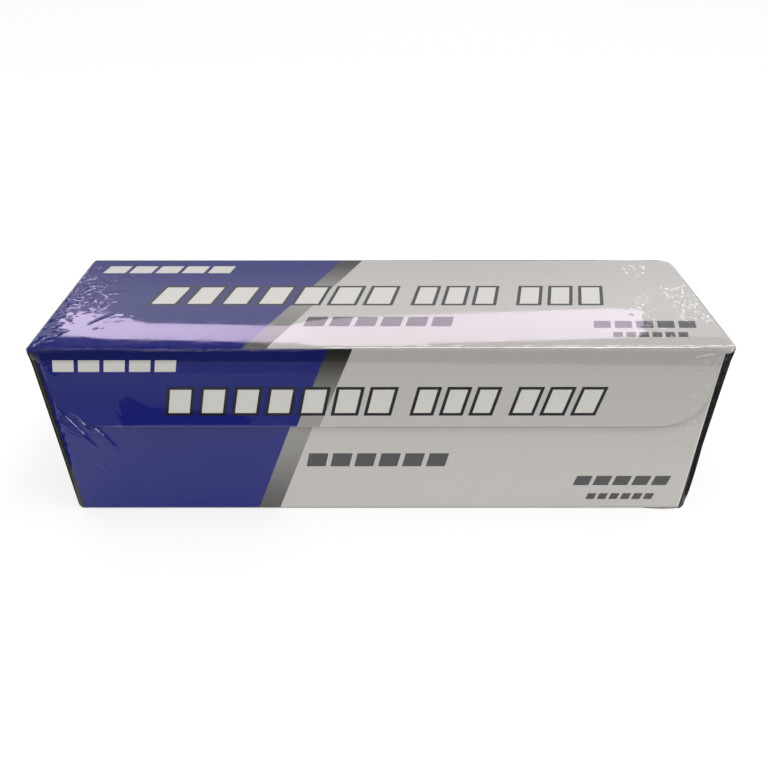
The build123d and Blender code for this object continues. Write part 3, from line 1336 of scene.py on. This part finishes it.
@dataclass
class HeatSeal:
    """The seam that closes the film, along the back and round both ends, in millimetres."""

    film: ShrinkFilm
    height: float = 50.0  # height of the seam
    width: float = 2.2  # how wide the sealed strip is
    thickness: float = 0.30  # how thick it is
    wander: float = 1.2  # how far it strays up and down
    step: float = 2.0  # distance between its cross-sections
    front_gap: float = 5.0  # from the film's front to the seam's two ends
    end_points: int = 40  # points of its path on each end
    back_points: int = 120  # points of its path along the back
    seed: float = 7.0  # picks how it strays

    def path(self) -> Mesh:
        """Lays the seam's path out on the film.

        Returns:
            A mesh of edges, in metres.
        """
        film = self.film
        end, front, back = film.half_length, film.front + self.front_gap, film.back
        depths = np.linspace(front, back, self.end_points)
        lengths = np.linspace(end, -end, self.back_points)[1:-1]
        box = [(end, depth, self.height) for depth in depths]
        box += [(along, back, self.height) for along in lengths]
        box += [(-end, depth, self.height) for depth in depths[::-1]]
        places = film.wrap(np.array(box)) * MM
        mesh = bpy.data.meshes.new("film_seam")
        mesh.from_pydata(places.tolist(), [(n, n + 1) for n in range(len(places) - 1)], [])
        return mesh

    def tree(self) -> Tree:
        """Builds the Geometry Nodes tree that runs the sealed strip along its path.

        Returns:
            The tree.
        """
        graph, given = start_tree("film_seam", ("Width", "Thickness", "Wander", "Step", "Seed"))
        curve = graph.out("GeometryNodeMeshToCurve", {0: given["Geometry"]})
        steps = {"Curve": curve, "Length": given["Step"]}
        even = graph.out("GeometryNodeResampleCurve", steps, mode="LENGTH")
        noise = graph.noise(graph.out("GeometryNodeInputPosition"), 60.0, 2.0, given["Seed"])
        stray = graph.out("ShaderNodeCombineXYZ", {"Z": (noise - 0.5) * given["Wander"]})
        moved = graph.out("GeometryNodeSetPosition", {"Geometry": even, "Offset": stray})
        upright = graph.out("GeometryNodeSetCurveNormal", {0: moved}, mode="Z_UP")
        sides = {"Width": given["Thickness"], "Height": given["Width"]}
        strip = graph.out("GeometryNodeCurvePrimitiveQuadrilateral", sides)
        sweep = {"Curve": upright, "Profile Curve": strip, "Fill Caps": True}
        return finish_tree(graph, graph.out("GeometryNodeCurveToMesh", sweep), given["Film"])

    def build(self, material: Material) -> Piece:
        """Makes the seam.

        Args:
            material: the film's material.

        Returns:
            The piece, riding with the carton.
        """
        piece = add_piece("film_seam", self.path())
        bake(piece, self.tree(), {
            "Width": self.width * MM,
            "Thickness": self.thickness * MM,
            "Wander": self.wander * MM,
            "Step": self.step * MM,
            "Seed": self.seed,
            "Film": material,
        })
        settle_film(piece)
        return piece


@dataclass(frozen=True)
class Card:
    """A flat card of the studio, out of the camera's sight, in metres."""

    name: str
    corners: tuple[Point, ...]
    shade: Colour
    glow: Range = (0.0, 0.0)  # how bright it shines at the start and end of its ramp, or 0 for a dark one
    mirrored_only: bool = True  # whether only mirroring surfaces meet it
    ramp: Ramp = ("X", -0.45, -0.10)  # axis along which its glow changes, and where that starts and ends
    one_sided: bool = False  # whether light from behind passes through it


def oblong(low: Place, high: Place) -> tuple[Place, ...]:
    """The corners of an oblong, from its lowest and highest corner."""
    return (low, (high[0], low[1]), high, (low[0], high[1]))


def level_card(name: str, plan: Sequence[Place], shade: float, glow: float = 0.0, level: float = 0.0008,
               mirrored_only: bool = True) -> Card:
    """A grey card that lies flat. Unless it is only mirrored, light from below passes through it."""
    corners = tuple((x, y, level) for x, y in plan)
    return Card(name, corners, (shade,) * 3, (glow, glow), mirrored_only, one_sided=not mirrored_only)


def side_mat(name: str, side: float) -> Card:
    """The dark mat beside one end, which pales away from the carton."""
    corners = tuple((side * x, y, 0.0014) for x, y in SIDE_MAT)
    return Card(name, corners, WHITE, (0.02, 0.60), True, ("X", side * 0.24, side * 0.55))


def upright_card(name: str, outline: Sequence[Place], depth: float, shade: Colour, glow: Range = (0.0, 0.0),
                 mirrored_only: bool = True, ramp: Ramp = Card.ramp) -> Card:
    """A card that stands across the room at a depth, from the x and z of its corners."""
    return Card(name, tuple((x, depth, z) for x, z in outline), shade, glow, mirrored_only, ramp)


def front_flag(name: str, side: float) -> Card:
    """One half of the dark flag in front, which pales towards its outer end."""
    outline = oblong((min(0.0, side * 1.8), 0.0), (max(0.0, side * 1.8), 2.2))
    return upright_card(name, outline, -1.6, WHITE, (0.04, 0.9), True, ("X", side * 0.9, side * 1.8))


SIDE_MAT = ((0.166, -0.053), (0.166, 0.056), (0.9, 0.50), (0.9, -0.50), (0.29, -0.161))
MIDDLE_MAT = ((-0.20, -0.115), (1.4, -0.115), (1.4, -0.21), (-0.30, -0.21))
FRONT_MAT = ((-1.4, -1.6), (1.4, -1.6), (1.4, -0.160), (0.05, -0.2005), (-1.4, -0.2005))
DARK_PATCH = ((-0.158, -0.124), (-0.167, -0.145), (-0.167, -0.157), (-0.149, -0.144), (-0.106, -0.139),
              (-0.082, -0.132), (-0.080, -0.124))
STRIP = ((-0.84, 0.872), (-0.82, 0.818), (-0.78, 0.798), (-0.68, 0.818), (-0.60, 0.838), (-0.34, 0.843),
         (-0.25, 0.846), (-0.18, 0.830), (-0.10, 0.822), (0.17, 0.811), (0.65, 0.792), (0.68, 0.880),
         (0.30, 0.893), (0.12, 0.898), (0.04, 0.930), (-0.12, 0.930), (-0.22, 0.897), (-0.40, 0.892),
         (-0.70, 0.884))
GREY = (0.14, 0.14, 0.14)
DARK = (0.05, 0.05, 0.05)
WHITE = (1.0, 1.0, 1.0)
LILAC = (1.0, 0.84, 1.04)
CARDS = (
    level_card("studio_front_mat", FRONT_MAT, 0.02, 0.0, 0.0010, False),
    level_card("studio_middle_mat", MIDDLE_MAT, 0.35),
    level_card("studio_dark_patch", DARK_PATCH, 0.02, 0.0, 0.0012),
    level_card("studio_left_glint", oblong((-0.20, -0.34), (-0.06, -0.240)), 1.0, 8.0, 0.0012),
    level_card("studio_far_glint", oblong((-0.60, -0.50), (-0.32, -0.25)), 1.0, 8.0, 0.0012),
    level_card("studio_right_glint", oblong((0.05, -0.30), (0.30, -0.232)), 1.0, 3.0, 0.0012),
    side_mat("studio_right_mat", 1.0),
    side_mat("studio_left_mat", -1.0),
    level_card("studio_ceiling", oblong((-2.0, -1.8), (2.0, 1.2)), 0.05, 0.0, 2.2),
    level_card("studio_overhead", oblong((-0.2, -0.7), (1.0, 0.3)), 1.0, 11.0, 2.1),
    upright_card("studio_low_window", oblong((0.88, 0.0), (1.80, 0.60)), -1.25, WHITE, (18.0, 18.0)),
    front_flag("studio_front_flag", -1.0),
    front_flag("studio_front_flag_right", 1.0),
    upright_card("studio_back_wall", oblong((-2.0, 0.0), (2.0, 0.86)), 1.30, WHITE, (0.66, 1.15), True,
                 ("Z", 0.68, 0.80)),
    upright_card("studio_back_flag", oblong((-2.0, 0.902), (2.0, 2.4)), 1.30, GREY),
    upright_card("studio_strip", STRIP, 1.26, LILAC, (6.2, 4.2), False),
    upright_card("studio_left_flag", oblong((-2.2, 0.0), (-0.95, 0.66)), 1.27, DARK),
    upright_card("studio_right_flag", oblong((0.95, 0.0), (2.2, 0.66)), 1.27, WHITE, (0.45, 0.45)),
    upright_card("studio_left_spark", oblong((-1.7, 0.93), (-0.95, 1.40)), 1.26, WHITE, (4.0, 4.0)),
    upright_card("studio_right_spark", oblong((0.45, 0.93), (1.7, 1.40)), 1.26, WHITE, (4.5, 4.5)),
    upright_card("studio_low_spark", oblong((0.50, 0.20), (0.90, 0.61)), 1.26, WHITE, (4.5, 4.5)),
)


@dataclass(frozen=True)
class Lamp:
    """A soft light, in metres and watts."""

    name: str
    place: Point
    aim: Point
    size: tuple[float, float]
    power: float
    mirrored: bool = True  # whether mirroring surfaces show it


LAMPS = (
    Lamp("key", (0.66, -0.10, 1.70), (0.0, 0.0, 0.05), (0.8, 0.45), 8.0),
    Lamp("window", (-0.45, -1.30, 0.95), (0.0, 0.0, 0.05), (0.7, 0.30), 3.2),
    Lamp("low_fill", (0.0, -0.185, 0.010), (0.0, -0.046, 0.022), (0.55, 0.03), 0.10, False),
)


@dataclass
class Studio:
    """Floor, light and camera."""

    floor_level: float = -0.30  # height of the floor, just under the film, in millimetres
    floor_reach: float = 4.0  # how far the floor goes each way, in metres
    floor_shade: Colour = (0.90, 0.90, 0.90)
    sky: float = 0.80  # brightness of the room
    shadow_share: float = 0.40  # how much of its own shade the floor shows to the camera
    floor_glow: float = 1.11  # brightness of the rest of the floor
    lens: float = 33.18  # focal length of the fitted camera, in millimetres
    sensor: float = 36.0  # width of its sensor, in millimetres
    camera_place: Point = (0.00086, -0.31524, 0.26688)
    camera_aim: Point = (0.00107, 0.0, 0.04803)

    def world(self) -> None:
        """Sets a plain pale room, white behind the object and in its mirroring surfaces."""
        world = bpy.data.worlds.new("room")
        bpy.context.scene.world = world
        world.use_nodes = True
        world.node_tree.nodes.clear()
        graph = Graph(world.node_tree)
        rays = ("Is Camera Ray", "Is Glossy Ray", "Is Transmission Ray")
        camera, glossy, through = (graph.out("ShaderNodeLightPath", output=name) for name in rays)
        lit = graph.out("ShaderNodeBackground", {"Color": (*WHITE, 1.0), "Strength": self.sky})
        white = graph.out("ShaderNodeBackground", {"Color": (*WHITE, 1.0)})
        mixed = graph.out("ShaderNodeMixShader", {0: camera | glossy | through, 1: lit, 2: white})
        graph.node("ShaderNodeOutputWorld", {0: mixed})

    def sheet(self, name: str, corners: Sequence[Point], material: Material) -> Piece:
        """Makes a flat sheet of the stage.

        Args:
            name: its name.
            corners: its corners, in metres.
            material: its material.

        Returns:
            The sheet.
        """
        mesh = bpy.data.meshes.new(name)
        mesh.from_pydata(corners, [], [tuple(range(len(corners)))])
        mesh.materials.append(material)
        made = add_piece(name, mesh)
        return made

    def floor(self) -> None:
        """Lays the white floor, which keeps a faint shadow."""
        material, graph = fresh_material("studio_floor")
        seen = graph.out("ShaderNodeLightPath", output="Is Camera Ray")
        matt = graph.out("ShaderNodeBsdfDiffuse", {"Color": (*self.floor_shade, 1.0)})
        glow = graph.out("ShaderNodeEmission", {"Strength": self.floor_glow})
        share = seen * (1.0 - self.shadow_share)
        graph.surface(graph.out("ShaderNodeMixShader", {0: share, 1: matt, 2: glow}))
        reach = self.floor_reach
        corners = [(x, y, self.floor_level * MM) for x, y in oblong((-reach, -reach), (reach, reach))]
        self.sheet("studio_floor", corners, material)

    def card(self, card: Card) -> None:
        """Sets up one card.

        Args:
            card: the card.
        """
        material, graph = fresh_material(card.name)
        colour = (*card.shade, 1.0)
        if card.glow[0] > 0.0:
            axis, start, end = card.ramp
            place = graph.out("ShaderNodeTexCoord", output="Object")
            along = graph.out("ShaderNodeSeparateXYZ", {0: place}, axis)
            strength = along.ramp(start, end, *card.glow)
            surface = graph.out("ShaderNodeEmission", {"Color": colour, "Strength": strength})
        else:
            surface = graph.out("ShaderNodeBsdfDiffuse", {"Color": colour})
        if card.one_sided:
            behind = graph.out("ShaderNodeNewGeometry", output="Backfacing")
            clear = graph.out("ShaderNodeBsdfTransparent")
            surface = graph.out("ShaderNodeMixShader", {0: behind, 1: surface, 2: clear})
        graph.surface(surface)
        made = self.sheet(card.name, card.corners, material)
        made.visible_camera = False
        made.visible_shadow = False
        made.visible_diffuse = not card.mirrored_only

    def aimed(self, name: str, data: bpy.types.ID, place: Point, aim: Point) -> Piece:
        """Sets a light or camera up at a place and points it.

        Args:
            name: its name.
            data: the light or camera.
            place: where it is, in metres.
            aim: where it points, in metres.

        Returns:
            Its object.
        """
        made = add_piece(name, data)
        made.location = place
        made.rotation_euler = (Vector(aim) - Vector(place)).to_track_quat("-Z", "Y").to_euler()
        return made

    def lamp(self, lamp: Lamp) -> None:
        """Hangs one light.

        Args:
            lamp: the light.
        """
        light = bpy.data.lights.new(lamp.name, "AREA")
        light.shape = "RECTANGLE"
        light.size, light.size_y = lamp.size
        light.energy = lamp.power
        made = self.aimed(lamp.name, light, lamp.place, lamp.aim)
        made.visible_camera = False
        made.visible_glossy = lamp.mirrored

    def camera(self) -> None:
        """Sets the camera that the photograph was fitted with."""
        lens = bpy.data.cameras.new("camera")
        lens.sensor_width = self.sensor
        lens.lens = self.lens
        bpy.context.scene.camera = self.aimed("camera", lens, self.camera_place, self.camera_aim)

    def build(self) -> None:
        """Sets up the whole studio."""
        bpy.context.scene.view_settings.view_transform = "Standard"
        self.world()
        self.floor()
        for card in CARDS:
            self.card(card)
        for lamp in LAMPS:
            self.lamp(lamp)
        self.camera()
        LOG.info("studio: floor, %d cards, %d lights and a camera", len(CARDS), len(LAMPS))


def main() -> None:
    """Dresses the carton."""
    logging.basicConfig(level=logging.INFO, format="%(name)s %(message)s")
    sizes = CartonSizes.from_frame(CARTON_NODE)
    CartonPrint(sizes).dress(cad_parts[CARTON_NODE])
    clear = FilmFinish().material()
    film = ShrinkFilm(sizes)
    film.build(clear)
    HeatSeal(film).build(clear)
    Studio().build()


if __name__ == "__main__":
    main()
